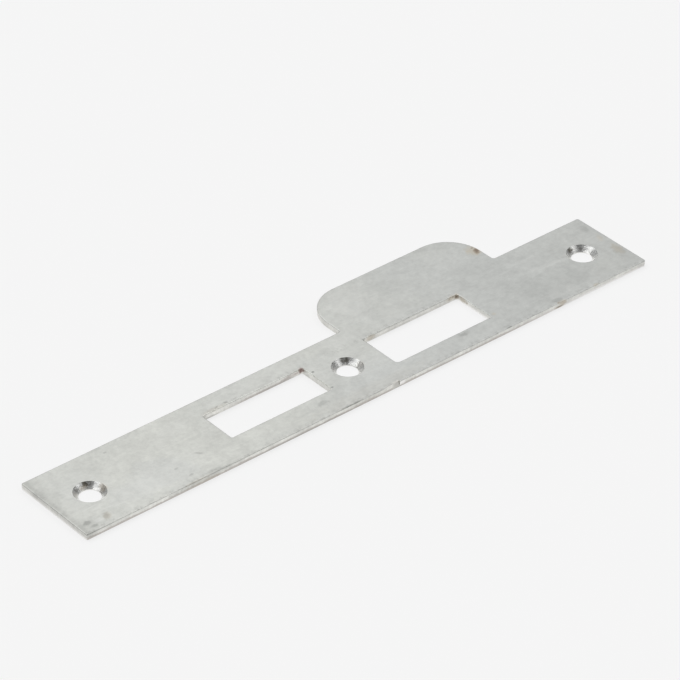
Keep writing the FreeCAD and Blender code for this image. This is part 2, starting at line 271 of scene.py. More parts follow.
class PlateFinish(PropertyGroup):
    """Colours and surface of the zinc plating, of what wear and rust have done to it, and of the painted light
    and shade laid over it.
    """

    zinc_color: FloatVectorProperty(
        name="Zinc", description="Matt zinc plating", subtype="COLOR", default=(0.548, 0.5545, 0.524)
    )
    cool_zinc_color: FloatVectorProperty(
        name="Cool zinc", description="Bluer patches of the plating", subtype="COLOR",
        default=(0.539, 0.549, 0.532),
    )
    countersink_color: FloatVectorProperty(
        name="Countersink", description="Bright cut metal", subtype="COLOR", default=(0.61, 0.615, 0.605)
    )
    # A painted highlight on the countersinks: near-white on their side towards the camera, at their inner lip
    # and in the gaps between their dark marks.
    rubbed_cut_color: FloatVectorProperty(
        name="Rubbed countersink", description="Side that the screws rubbed", subtype="COLOR",
        default=(0.9, 0.9, 0.88),
    )
    # Part residue, part painted dark reflection.
    cut_stain_color: FloatVectorProperty(
        name="Countersink residue", description="Dark residue", subtype="COLOR", default=(0.17, 0.16, 0.135)
    )
    burnished_color: FloatVectorProperty(
        name="Burnished", description="Bright sheared part of a cut edge", subtype="COLOR",
        default=(0.80, 0.797, 0.758),
    )
    torn_color: FloatVectorProperty(
        name="Torn", description="Torn lower part of a cut edge", subtype="COLOR",
        default=(0.62, 0.585, 0.55),
    )
    # The drooped face's zinc, painted lighter than the plating so that the drooped stretch and the shear mark's
    # small end wall look as bright as the face: a real droop with painted light.
    drooped_color: FloatVectorProperty(
        name="Drooped", description="Front face drawn over the near edge", subtype="COLOR",
        default=(0.61, 0.605, 0.575),
    )
    # A painted highlight: near-white laid on the feet of some cut walls and on the restart of the next shear
    # stroke.
    foot_color: FloatVectorProperty(
        name="Wall foot", description="Bright foot of a wall", subtype="COLOR", default=(0.95, 0.94, 0.92)
    )
    # Also the painted shade at the near wall's foot and the painted dark lines on the latch opening's far wall.
    smudge_color: FloatVectorProperty(
        name="Smudge", description="Dull grey handling marks", subtype="COLOR", default=(0.30, 0.305, 0.29)
    )
    pale_color: FloatVectorProperty(
        name="Pale rub", description="Rubbed zinc", subtype="COLOR", default=(0.67, 0.675, 0.655)
    )
    tan_color: FloatVectorProperty(
        name="Tan film", description="Thin film round a rust spot", subtype="COLOR",
        default=(0.56, 0.49, 0.38),
    )
    rust_color: FloatVectorProperty(
        name="Rust", description="Brown heart of a rust spot", subtype="COLOR", default=(0.21, 0.155, 0.115)
    )
    red_stain_color: FloatVectorProperty(
        name="Red stain", description="Reddish stain in a corner", subtype="COLOR",
        default=(0.28, 0.17, 0.15),
    )
    face_roughness: FloatProperty(
        name="Face roughness", description="Roughness of the matt faces", min=0.05, max=1.0, default=0.36
    )
    countersink_roughness: FloatProperty(
        name="Countersink roughness", description="Roughness of the cut countersinks", min=0.02, max=1.0,
        default=0.2,
    )
    patch_size: FloatProperty(
        name="Patch size", description="Width of the warm and cool patches", unit="LENGTH", default=16 * MM
    )
    cloud_size: FloatProperty(
        name="Cloud size", description="Width of the soft clouds", unit="LENGTH", default=3.6 * MM
    )
    blotch_size: FloatProperty(
        name="Blotch size", description="Width of the small blotches", unit="LENGTH", default=1.3 * MM
    )
    mottle_size: FloatProperty(
        name="Mottle size", description="Width of the fine mottle", unit="LENGTH", default=0.55 * MM
    )
    brush_line_width: FloatProperty(
        name="Brush line width", description="Width of the faint rolling lines", unit="LENGTH",
        default=0.25 * MM,
    )
    brush_line_length: FloatProperty(
        name="Brush line length", description="Length of the faint rolling lines", unit="LENGTH",
        default=6 * MM,
    )
    scoring_width: FloatProperty(
        name="Scoring width", description="Width of the upright scores on the cut walls", unit="LENGTH",
        default=0.45 * MM,
    )
    burnish_height: FloatProperty(
        name="Burnish height", description="Height where the torn edge turns bright", unit="LENGTH",
        default=0.6 * MM,
    )


class Studio(PropertyGroup):
    """The floor, the light by direction, and the camera."""

    floor_color: FloatVectorProperty(
        name="Floor", description="Pale floor", subtype="COLOR", default=(0.94, 0.94, 0.94)
    )
    floor_width: FloatProperty(
        name="Floor width", description="Side of the floor", unit="LENGTH", default=8.0
    )
    floor_glow: FloatProperty(
        name="Floor glow", description="How much of the floor is lit from below", min=0.0, max=1.0,
        default=0.75,
    )
    light_level: FloatProperty(
        name="Light level", description="Strength of the whole studio light", min=0.0, default=1.1
    )
    camera_place: FloatVectorProperty(
        name="Camera place", description="Where the camera stands", subtype="TRANSLATION", unit="LENGTH",
        default=(-0.45789, -0.51980, 0.49463),
    )
    camera_aim: FloatVectorProperty(
        name="Camera aim", description="The floor point at the picture's middle", subtype="TRANSLATION",
        unit="LENGTH", default=(0.00708, 0.01095, 0.0),
    )
    camera_roll: FloatProperty(
        name="Camera roll", description="Turn of the camera about its line of sight", subtype="ANGLE",
        default=math.radians(1.15),
    )
    focal_length: FloatProperty(
        name="Focal length", description="Lens in millimetres for a 36 mm sensor", min=10.0, default=194.24
    )


def add_node(tree, kind, inputs=None, **settings):
    """Add a node, and set or link each input given by its name or number."""
    node = tree.nodes.new(kind)
    for name, value in settings.items():
        setattr(node, name, value)
    for key, value in (inputs or {}).items():
        if isinstance(value, bpy.types.NodeSocket):
            tree.links.new(value, node.inputs[key])
        else:
            node.inputs[key].default_value = value
    return node


def use_group(tree, group, inputs):
    """Place a node group, and set or link its inputs by name."""
    return add_node(tree, "ShaderNodeGroup", inputs, node_tree=group).outputs


def calc(tree, operation, *values):
    """One step of arithmetic on numbers or sockets."""
    return add_node(tree, "ShaderNodeMath", dict(enumerate(values)), operation=operation).outputs[0]


def vector_calc(tree, operation, *values, output="Vector"):
    """One step of arithmetic on vectors."""
    node = add_node(tree, "ShaderNodeVectorMath", dict(enumerate(values)), operation=operation)
    return node.outputs[output]


def ease(tree, value, low, high, start=0.0, end=1.0):
    """A smooth step from start to end as value goes from low to high."""
    inputs = {"Value": value, "From Min": low, "From Max": high, "To Min": start, "To Max": end}
    return add_node(tree, "ShaderNodeMapRange", inputs, interpolation_type="SMOOTHSTEP").outputs["Result"]


def blend(tree, share, first, second, mode="MIX"):
    """Mix two colours."""
    inputs = {"Factor": share, "A": first, "B": second}
    node = add_node(tree, "ShaderNodeMix", data_type="RGBA", blend_type=mode)
    for name, value in inputs.items():
        socket = next(s for s in node.inputs if s.name == name and s.enabled)
        if isinstance(value, bpy.types.NodeSocket):
            tree.links.new(value, socket)
        elif name == "Factor":
            socket.default_value = value
        else:
            socket.default_value = (*value, 1.0)
    return next(s for s in node.outputs if s.enabled)


def blend_number(tree, share, first, second):
    """Mix two numbers."""
    return add_node(tree, "ShaderNodeMix", {0: share, 2: first, 3: second}).outputs[0]


def scale_color(tree, color, factor):
    """A colour made lighter or darker by a factor."""
    grey = add_node(tree, "ShaderNodeCombineColor", {0: factor, 1: factor, 2: factor}).outputs[0]
    return blend(tree, 1.0, color, grey, mode="MULTIPLY")


def add_all(tree, first, *others):
    """The sum of numbers or sockets."""
    for other in others:
        first = calc(tree, "ADD", first, other)
    return first


def multiply_all(tree, first, *others):
    """The product of numbers or sockets."""
    for other in others:
        first = calc(tree, "MULTIPLY", first, other)
    return first


def max_all(tree, first, *others):
    """The largest of numbers or sockets."""
    for other in others:
        first = calc(tree, "MAXIMUM", first, other)
    return first


def rest_of(tree, mask):
    """The rest of a mask: 1 where it is 0."""
    return calc(tree, "SUBTRACT", 1.0, mask)


def soft_band(tree, value, ends):
    """1 along a stretch whose two ends are soft. Each end says where the stretch begins and is in full."""
    first, second = ends
    return calc(tree, "MULTIPLY", ease(tree, value, *first), ease(tree, value, *second))


def noise(tree, place, size, detail=2.0, roughness=0.5):
    """Smooth noise between 0 and 1 whose patches are about size wide."""
    inputs = {"Vector": place, "Scale": 0.5 / size, "Detail": detail, "Roughness": roughness}
    return add_node(tree, "ShaderNodeTexNoise", inputs).outputs[0]


def new_group(name, inputs, outputs):
    """A shader node group with named sockets. Returns its tree, its inputs by name and its output node."""
    tree = bpy.data.node_groups.new(name, "ShaderNodeTree")
    for socket_name, kind in inputs:
        tree.interface.new_socket(name=socket_name, in_out="INPUT", socket_type=kind)
    for socket_name, kind in outputs:
        tree.interface.new_socket(name=socket_name, in_out="OUTPUT", socket_type=kind)
    entry = tree.nodes.new("NodeGroupInput")
    exit_node = tree.nodes.new("NodeGroupOutput")
    return tree, entry.outputs, exit_node.inputs


def mark_group():
    """A ragged mark: an ellipsoid turned about the vertical, with a soft rim that follows a noise."""
    tree, given, out = new_group(
        "ragged_mark",
        [
            ("Place", "NodeSocketVector"),
            ("Centre", "NodeSocketVector"),
            ("Half Size", "NodeSocketVector"),
            ("Turn", "NodeSocketFloat"),
            ("Ragged", "NodeSocketFloat"),
            ("Rim Noise", "NodeSocketFloat"),
            ("Strength", "NodeSocketFloat"),
        ],
        [("Mask", "NodeSocketFloat"), ("Heart", "NodeSocketFloat")],
    )
    offset = vector_calc(tree, "SUBTRACT", given["Place"], given["Centre"])
    turning = {"Vector": offset, "Angle": given["Turn"]}
    turned = add_node(tree, "ShaderNodeVectorRotate", turning, rotation_type="Z_AXIS", invert=True).outputs[0]
    scaled = vector_calc(tree, "DIVIDE", turned, given["Half Size"])
    distance = vector_calc(tree, "LENGTH", scaled, output="Value")
    push = calc(tree, "MULTIPLY", calc(tree, "SUBTRACT", given["Rim Noise"], 0.5), given["Ragged"])
    ragged = calc(tree, "ADD", distance, calc(tree, "MULTIPLY", push, RAGGED_PUSH))
    for output, span in (("Mask", MARK_RIM), ("Heart", MARK_HEART)):
        tree.links.new(calc(tree, "MULTIPLY", ease(tree, ragged, *span), given["Strength"]), out[output])
    return tree


def soft_patch_group():
    """A round patch of light: 1 inside the half angle about a direction, falling softly to 0."""
    tree, given, out = new_group(
        "soft_patch",
        [
            ("Direction", "NodeSocketVector"),
            ("Centre", "NodeSocketVector"),
            ("Half Angle", "NodeSocketFloat"),
            ("Softness", "NodeSocketFloat"),
        ],
        [("Mask", "NodeSocketFloat")],
    )
    along = vector_calc(tree, "DOT_PRODUCT", given["Direction"], given["Centre"], output="Value")
    angle = calc(tree, "ARCCOSINE", along)
    inner = calc(tree, "SUBTRACT", given["Half Angle"], given["Softness"])
    outer = calc(tree, "ADD", given["Half Angle"], given["Softness"])
    tree.links.new(ease(tree, angle, outer, inner), out["Mask"])
    return tree


def place_marks(tree, group, place, marks, rim_noise):
    """All marks of one kind together: their mask and their hearts."""
    found = []
    for centre, size, turn, ragged, strength in marks.values():
        found.append(use_group(tree, group, {
            "Place": place,
            "Centre": [length * MM for length in centre],
            "Half Size": [length / 2 * MM for length in size],
            "Turn": math.radians(turn),
            "Ragged": ragged,
            "Rim Noise": rim_noise,
            "Strength": strength,
        }))
    mask = max_all(tree, *[mark["Mask"] for mark in found])
    hearts = max_all(tree, *[mark["Heart"] for mark in found])
    return mask, hearts


def place_cut_marks(tree, group, place, marks, rim_noise):
    """All marks of one kind on the countersinks together."""
    found = []
    for screw, angle, width, strength in marks.values():
        turn = math.radians(angle)
        outward = Vector((math.cos(turn), math.sin(turn), 0.0))
        found.append(use_group(tree, group, {
            "Place": place,
            "Centre": Vector(MOUNTS[screw]["pos_m"]) + outward * CUT_MARK_RADIUS,
            "Half Size": (CUT_MARK_LENGTH / 2, width / 2 * MM, THROUGH * MM),
            "Turn": turn,
            "Ragged": CUT_MARK_RAGGED,
            "Rim Noise": rim_noise,
            "Strength": strength,
        })["Mask"])
    return max_all(tree, *found)


def find_countersinks(tree, place, facing_up):
    """1 on the countersinks, the angle round their axes, 1 on their side that gets a painted highlight and 1 on
    their inner lip.
    """
    masks, angles, rubs, lips = [], [], [], []
    for centre in SCREW_CENTRES:
        offset = vector_calc(tree, "SUBTRACT", place, (centre.x, centre.y, 0.0))
        flat = vector_calc(tree, "MULTIPLY", offset, (1.0, 1.0, 0.0))
        radius = vector_calc(tree, "LENGTH", flat, output="Value")
        near = ease(tree, radius, COUNTERSINK_RADIUS + 0.12 * MM, COUNTERSINK_RADIUS + 0.02 * MM)
        masks.append(near)
        parts = add_node(tree, "ShaderNodeSeparateXYZ", {0: offset}).outputs
        angles.append(calc(tree, "MULTIPLY", calc(tree, "ARCTAN2", parts["Y"], parts["X"]), near))
        outward = vector_calc(tree, "NORMALIZE", flat)
        side = vector_calc(tree, "DOT_PRODUCT", outward, RUBBED_SIDE, output="Value")
        rubs.append(calc(tree, "MULTIPLY", ease(tree, side, -0.35, 0.25), near))
        lips.append(ease(tree, radius, COUNTERSINK_RADIUS - 0.6 * MM, SCREW_RADIUS + 0.2 * MM))
    sloping = calc(tree, "MULTIPLY", ease(tree, facing_up, 0.2, 0.4), ease(tree, facing_up, 0.97, 0.9))
    sunk = calc(tree, "MULTIPLY", max_all(tree, *masks), sloping)
    return sunk, add_all(tree, *angles), add_all(tree, *rubs), max_all(tree, *lips)


def find_shear_mark(tree, zone):
    """1 on the near edge's drooped stretch, and 1 on the start of the next stroke beside it, which gets a
    painted highlight.
    """
    drooped = multiply_all(
        tree,
        zone["near_edge"],
        ease(tree, zone["x"], SHEAR_DROOP_START, SHEAR_MARK - 1.2 * MM),
        # reaches just past the shear mark, so that the mark's end wall gets the drooped stretch's painted light
        # too
        calc(tree, "LESS_THAN", zone["x"], SHEAR_MARK + 0.02 * MM),
    )
    restart = multiply_all(
        tree,
        ease(tree, zone["y"], *NEAR_WALL),
        soft_band(tree, zone["height"], RESTART_HEIGHTS),
        calc(tree, "GREATER_THAN", zone["x"], SHEAR_MARK),
        ease(tree, zone["x"], SHEAR_MARK + 2.2 * MM, SHEAR_MARK + 1.0 * MM),
    )
    return drooped, restart


def find_torn_walls(tree, zone, finish, noises):
    """1 on the torn lower part of the cut walls. It is strongest on the plate's long outer sides."""
    torn_line = add_all(
        tree,
        zone["height"],
        ease(tree, noises["clouds"], 0.0, 1.0, -TORN_WANDER, TORN_WANDER),
        ease(tree, noises["scoring"], 0.2, 0.8, -TORN_JAGS, TORN_JAGS),
    )
    below = ease(tree, torn_line, finish.burnish_height + TORN_RIM, finish.burnish_height - TORN_RIM)
    fading = ease(tree, zone["x"], *TORN_FADES, 0.8, 0.45)
    on_long_sides = multiply_all(tree, zone["long_side"], zone["outside"], fading)
    strength = calc(tree, "MAXIMUM", on_long_sides, WEAKEST_TEAR)
    return multiply_all(tree, zone["wall"], below, strength, rest_of(tree, zone["drooped"]))


def find_bright_feet(tree, zone):
    """1 where a painted highlight goes: at the foot of the latch opening's right wall, of the near edge's right
    part and of the plain end.
    """
    latch_right_wall = multiply_all(
        tree,
        rest_of(tree, zone["outside"]),
        rest_of(tree, zone["long_side"]),
        ease(tree, zone["x"], *LATCH_RIGHT_WALL),
    )
    right_near_edge = calc(tree, "MULTIPLY", zone["near_edge"], ease(tree, zone["x"], *RIGHT_NEAR_EDGE))
    plain_end = ease(tree, zone["x"], *PLAIN_END_WALL, 0.0, 0.7)
    return multiply_all(
        tree,
        zone["wall"],
        ease(tree, zone["height"], *FOOT_HEIGHTS),
        max_all(tree, latch_right_wall, right_near_edge, plain_end),
    )


def find_levels(tree, zone, clouds):
    """The painted light on the rolled rims and the painted shade on the cut walls, and 1 beside the openings,
    where rims are dull.
    """
    lip_curve = calc(tree, "MULTIPLY", ease(tree, zone["y"], *LIP_REACH), ease(tree, zone["x"], *LIP_LEFT))
    right_near_rim = calc(tree, "MULTIPLY", zone["near_edge"], ease(tree, zone["x"], *RIGHT_NEAR_RIM))
    left_near_rim = calc(tree, "MULTIPLY", zone["near_edge"], soft_band(tree, zone["x"], LEFT_NEAR_RIM))
    outer_rim = add_all(
        tree,
        ease(tree, clouds, 0.35, 0.65, 1.12, 0.96),
        calc(tree, "MULTIPLY", lip_curve, LIP_RIM_GAIN),
        calc(tree, "MULTIPLY", right_near_rim, RIGHT_RIM_GAIN),
        calc(tree, "MULTIPLY", left_near_rim, LEFT_RIM_GAIN),
    )

    beside_deadbolt = soft_band(tree, zone["x"], BESIDE_DEADBOLT)
    beside_latch = calc(
        tree, "MULTIPLY", soft_band(tree, zone["x"], BESIDE_LATCH), ease(tree, zone["y"], *BESIDE_LATCH_REACH)
    )
    beside_opening = calc(tree, "MAXIMUM", beside_deadbolt, beside_latch)
    side_rim = calc(
        tree,
        "ADD",
        ease(tree, beside_opening, 0.0, 1.0, 1.0, SIDE_RIM_LEVEL),
        calc(tree, "MULTIPLY", beside_latch, LATCH_RIM_GAIN),
    )
    far_rim = ease(tree, zone["x"], *BETWEEN_OPENINGS, *FAR_RIM_LEVELS)
    inner_rim = blend_number(tree, zone["far_wall"], side_rim, far_rim)
    rim_level = blend_number(tree, zone["outside"], inner_rim, outer_rim)

    inner_wall = ease(tree, zone["far_wall"], 0.0, 1.0, *INNER_WALL_LEVELS)
    outer_wall = ease(tree, lip_curve, 0.0, 1.0, *OUTER_WALL_LEVELS)
    wall_level = blend_number(tree, zone["outside"], inner_wall, outer_wall)
    return rim_level, wall_level, beside_opening


def find_zones(tree, place, normal, finish, noises):
    """Masks of the plate's places and kinds of surface, and the painted light and shade that set how bright its
    walls and rims are.
    """
    x, y, height = add_node(tree, "ShaderNodeSeparateXYZ", {0: place}).outputs
    facing = add_node(tree, "ShaderNodeSeparateXYZ", {0: normal}).outputs
    facing_far, facing_up = facing["Y"], facing["Z"]
    zone = {
        "x": x,
        "y": y,
        "height": height,
        "wall": ease(tree, calc(tree, "ABSOLUTE", facing_up), 0.5, 0.25),
        "long_side": ease(tree, calc(tree, "ABSOLUTE", facing_far), 0.3, 0.6),
        "far_wall": ease(tree, facing_far, -0.1, -0.3),
        "outside": ease(tree, calc(tree, "ABSOLUTE", y), *OUTSIDE_OPENINGS),
        "near_edge": ease(tree, y, *NEAR_EDGE),
    }
    zone["sunk"], zone["angle"], zone["rubbed"], zone["inner_lip"] = find_countersinks(tree, place, facing_up)
    zone["drooped"], zone["restart"] = find_shear_mark(tree, zone)
    zone["torn"] = find_torn_walls(tree, zone, finish, noises)
    zone["foot"] = find_bright_feet(tree, zone)
    sloping = calc(tree, "MULTIPLY", ease(tree, facing_up, 0.1, 0.35), ease(tree, facing_up, 0.995, 0.97))
    zone["rim"] = multiply_all(tree, sloping, rest_of(tree, zone["drooped"]), rest_of(tree, zone["sunk"]))
    zone["rim_level"], zone["wall_level"], beside_opening = find_levels(tree, zone, noises["clouds"])
    zone["dull_rim"] = calc(tree, "MULTIPLY", zone["rim"], beside_opening)
    return zone


def find_grime(tree, zone, speckle):
    """Specks of dirt held along the rims of the near edge, the plain end and the openings' far side."""
    beside_far_rim = calc(tree, "ABSOLUTE", calc(tree, "SUBTRACT", zone["y"], GRIME_LINE))
    from_worn_place = calc(tree, "ABSOLUTE", calc(tree, "SUBTRACT", zone["x"], WORN_PLACE))
    above_openings = multiply_all(
        tree,
        ease(tree, beside_far_rim, *GRIME_REACH),
        soft_band(tree, zone["x"], GRIME_STRETCH),
        ease(tree, from_worn_place, *WORN_REACH, 0.35, 1.0),
    )
    border = max_all(
        tree,
        ease(tree, zone["y"], *NEAR_BORDER),
        ease(tree, zone["x"], *PLAIN_END_BORDER),
        calc(tree, "MULTIPLY", above_openings, 0.85),
    )
    return multiply_all(tree, border, ease(tree, speckle, 0.48, 0.66), rest_of(tree, zone["wall"]))


def make_noises(tree, place, finish):
    """The noises of the finish, by name."""
    line_stretch = (1 / finish.brush_line_length, 1 / finish.brush_line_width, 1 / finish.brush_line_width)
    along_lines = vector_calc(tree, "MULTIPLY", place, line_stretch)
    upright = vector_calc(tree, "MULTIPLY", place, (1.0, 1.0, 0.25))
    return {
        "patches": noise(tree, place, finish.patch_size, detail=2.0),
        "clouds": noise(tree, place, finish.cloud_size, detail=4.0, roughness=0.6),
        "blotches": noise(tree, place, finish.blotch_size, detail=3.0, roughness=0.6),
        "mottle": noise(tree, place, finish.mottle_size, detail=3.0, roughness=0.7),
        "lines": noise(tree, along_lines, 1.0, detail=3.0, roughness=0.6),
        "scoring": noise(tree, upright, finish.scoring_width, detail=3.0, roughness=0.65),
        "mark_rims": noise(tree, place, 0.6 * MM, detail=4.0, roughness=0.7),
        "speckle": noise(tree, place, 0.5 * MM, detail=3.0, roughness=0.65),
        "residue": noise(tree, place, 0.38 * MM, detail=2.0, roughness=0.6),
        "cut_metal": noise(tree, place, 1.1 * MM, detail=3.0, roughness=0.6),
        "wall_patches": noise(tree, place, 2.4 * MM, detail=2.0),
    }


def color_faces(tree, group, place, finish, noises, zone):
    """The zinc's colour, and the shade that lightens and darkens it over the plate: random tone, and painted
    shade towards the latch end and the near side.
    """
    slant = calc(tree, "SUBTRACT", zone["x"], calc(tree, "MULTIPLY", zone["y"], 1.2))
    drift = ease(tree, slant, -50 * MM, 40 * MM, 0.25, 0.75)
    patches = calc(tree, "MULTIPLY", noises["patches"], 0.5)
    cool = calc(tree, "ADD", patches, calc(tree, "MULTIPLY", drift, 0.5))
    cool_patches, _ = place_marks(tree, group, place, COOL_PATCHES, noises["clouds"])
    cool = calc(tree, "MAXIMUM", ease(tree, cool, 0.35, 0.65), cool_patches)
    color = blend(tree, cool, finish.zinc_color, finish.cool_zinc_color)
    mottle_depth = ease(tree, zone["x"], -20 * MM, 30 * MM, 0.08, 0.06)
    shade = add_all(
        tree,
        ease(tree, noises["clouds"], *SPREAD, 0.957, 1.043),
        ease(tree, noises["blotches"], *SPREAD, -0.045, 0.045),
        calc(tree, "MULTIPLY", ease(tree, noises["mottle"], *SPREAD, -1.0, 1.0), mottle_depth),
        ease(tree, noises["lines"], *SPREAD, -0.02, 0.02),
        ease(tree, noises["lines"], 0.62, 0.72, 0.0, 0.03),
        ease(tree, noises["patches"], 0.3, 0.7, 0.015, -0.015),
    )
    shade = multiply_all(
        tree,
        shade,
        ease(tree, zone["x"], PLATE_LOW.x, PLATE_LOW.x + 7 * MM, 0.95, 1.0),
        ease(tree, zone["x"], PLATE_LOW.x + 0.8 * MM, PLATE_LOW.x + 1.8 * MM, 0.88, 1.0),
        # painted shade: darker towards the latch end and the near side, standing in for the light falling off
        # across the plate
        ease(tree, slant, -40 * MM, 85 * MM, 1.01, 0.91),
    )
    return scale_color(tree, color, shade), shade


def color_countersinks(tree, group, place, finish, noises, zone):
    """Bright cut metal, with a painted highlight on the side towards the camera and at the inner lip, and
    painted glints in the gaps between dark marks that are part residue and part painted dark reflection.
    """
    cut_shade = ease(tree, noises["cut_metal"], 0.35, 0.65, 0.62, 1.12)
    color = scale_color(tree, finish.countersink_color, cut_shade)
    # painted highlight on the countersinks' side towards the camera
    color = blend(tree, zone["rubbed"], color, finish.rubbed_cut_color)
    # painted glints in the gaps, and a painted highlight on the inner lip where its rounded throat would catch
    # the light
    gaps = place_cut_marks(tree, group, place, CUT_RUBS, noises["mark_rims"])
    bright = calc(tree, "MAXIMUM", gaps, calc(tree, "MULTIPLY", zone["inner_lip"], 0.45))
    color = blend(tree, bright, color, finish.rubbed_cut_color)
    # dark marks: residue, deepened by painted dark reflection
    residue = multiply_all(
        tree,
        place_cut_marks(tree, group, place, CUT_STAINS, noises["mark_rims"]),
        ease(tree, noises["residue"], 0.42, 0.53, 0.3, 1.0),
        ease(tree, zone["inner_lip"], 0.0, 1.0, 1.0, 0.6),
    )
    return blend(tree, residue, color, finish.cut_stain_color)


def color_edges(tree, color, finish, noises, zone, shade):
    """Lay the cut walls, the rolled rims and the shear mark over the faces' colour, with painted shade on the
    walls, painted light on the rims and the drooped stretch, and painted highlights at the walls' feet and the
    shear mark's restart.
    """
    wall_shade = multiply_all(
        tree,
        shade,
        # painted shade: each wall's brightness set by the way it faces
        zone["wall_level"],
        ease(tree, noises["scoring"], 0.3, 0.7, 0.94, 1.06),
        ease(tree, noises["wall_patches"], 0.3, 0.7, 0.91, 1.08),
    )
    color = blend(tree, zone["wall"], color, scale_color(tree, finish.burnished_color, wall_shade))
    color = blend(tree, zone["torn"], color, finish.torn_color)
    # painted highlight at the walls' feet
    color = blend(tree, zone["foot"], color, finish.foot_color)
    # painted light: the rims lifted against the dim patches they reflect
    color = blend(tree, zone["rim"], color, scale_color(tree, color, zone["rim_level"]))
    # painted light: the drooped stretch as bright as the face
    color = blend(tree, zone["drooped"], color, finish.drooped_color)
    # painted highlight on the restart of the next shear stroke
    return blend(tree, zone["restart"], color, finish.foot_color)


def make_relief(tree, noises, zone):
    """The fine relief: the plating's grain, the chatter of the countersinks and the torn walls."""
    waves = calc(
        tree,
        "ADD",
        calc(tree, "MULTIPLY", zone["angle"], CHATTER_WAVES),
        calc(tree, "MULTIPLY", noises["clouds"], CHATTER_WANDER),
    )
    chatter = calc(
        tree,
        "ADD",
        calc(tree, "MULTIPLY", calc(tree, "SINE", waves), CHATTER_DEPTH),
        calc(tree, "MULTIPLY", noises["mottle"], CUT_GRAIN_DEPTH),
    )
    grain = calc(
        tree,
        "ADD",
        calc(tree, "MULTIPLY", noises["mottle"], FACE_GRAIN_DEPTH),
        calc(tree, "MULTIPLY", noises["lines"], LINE_DEPTH),
    )
    torn = multiply_all(tree, zone["torn"], noises["mottle"], TORN_DEPTH)
    height = calc(tree, "ADD", blend_number(tree, zone["sunk"], grain, chatter), torn)
    return add_node(tree, "ShaderNodeBump", {"Height": height, "Strength": 1.0, "Distance": 1.0}).outputs[0]


def new_material(name):
    """An empty material and its node tree."""
    material = bpy.data.materials.new(name)
    material.use_nodes = True
    material.node_tree.nodes.clear()
    return material, material.node_tree


def zinc_material(finish):
    """Matt zinc on a blanked steel plate, with bright cut countersinks, torn edges, marks and rust, and with
    painted light and shade on its countersinks, rims and walls.
    """
    material, tree = new_material("zinc_steel")
    coordinates = add_node(tree, "ShaderNodeTexCoord").outputs
    place = coordinates["Object"]
    noises = make_noises(tree, place, finish)
    rim_noise = noises["mark_rims"]
    zone = find_zones(tree, place, coordinates["Normal"], finish, noises)
    group = mark_group()

    color, shade = color_faces(tree, group, place, finish, noises, zone)
    color = blend(tree, zone["sunk"], color, color_countersinks(tree, group, place, finish, noises, zone))
    color = color_edges(tree, color, finish, noises, zone, shade)

    smudge, _ = place_marks(tree, group, place, SMUDGES, rim_noise)
    rub, _ = place_marks(tree, group, place, PALE_RUBS, rim_noise)
    film, _ = place_marks(tree, group, place, TAN_FILMS, rim_noise)
    stain, stain_heart = place_marks(tree, group, place, RED_STAINS, rim_noise)
    rust, rust_heart = place_marks(tree, group, place, RUST_SPOTS, rim_noise)
    film = calc(tree, "MAXIMUM", film, calc(tree, "MULTIPLY", rust, 0.8))
    grime = calc(tree, "MULTIPLY", find_grime(tree, zone, noises["speckle"]), 0.35)
    color = blend(tree, rub, color, finish.pale_color)
    # smudges, among them the painted shade at the near wall's foot and the painted dark lines on the latch
    # opening's far wall
    color = blend(tree, smudge, color, finish.smudge_color)
    color = blend(tree, grime, color, finish.smudge_color)
    color = blend(tree, film, color, finish.tan_color)
    color = blend(tree, stain, color, finish.red_stain_color)
    color = blend(tree, rust_heart, color, finish.rust_color)

    rusty = calc(tree, "MAXIMUM", rust_heart, stain_heart)
    roughness = calc(tree, "ADD", finish.face_roughness, ease(tree, noises["mottle"], *SPREAD, -0.05, 0.05))
    cut_roughness = blend_number(tree, zone["rubbed"], finish.countersink_roughness, finish.face_roughness)
    roughness = blend_number(tree, zone["sunk"], roughness, cut_roughness)
    roughness = blend_number(tree, zone["torn"], roughness, TORN_ROUGHNESS)
    roughness = blend_number(tree, zone["dull_rim"], roughness, DULL_RIM_ROUGHNESS)
    roughness = blend_number(tree, max_all(tree, rusty, film, smudge), roughness, DIRT_ROUGHNESS)
    shader = add_node(tree, "ShaderNodeBsdfPrincipled", {
        "Base Color": color,
        "Metallic": blend_number(tree, rusty, 1.0, RUST_METALLIC),
        "Roughness": roughness,
        "Normal": make_relief(tree, noises, zone),
    })
    add_node(tree, "ShaderNodeOutputMaterial", {"Surface": shader.outputs[0]})
    return material


def direction(azimuth, elevation):
    """The unit vector at these angles in degrees, from +X towards +Y and up."""
    flat = math.cos(math.radians(elevation))
    turn = math.radians(azimuth)
    return (flat * math.cos(turn), flat * math.sin(turn), math.sin(math.radians(elevation)))


def soft_patch(tree, group, along, centre, half_angle, softness):
    """The mask of one patch of the studio's light."""
    return use_group(tree, group, {
        "Direction": along,
        "Centre": direction(*centre),
        "Half Angle": math.radians(half_angle),
        "Softness": math.radians(softness),
    })["Mask"]


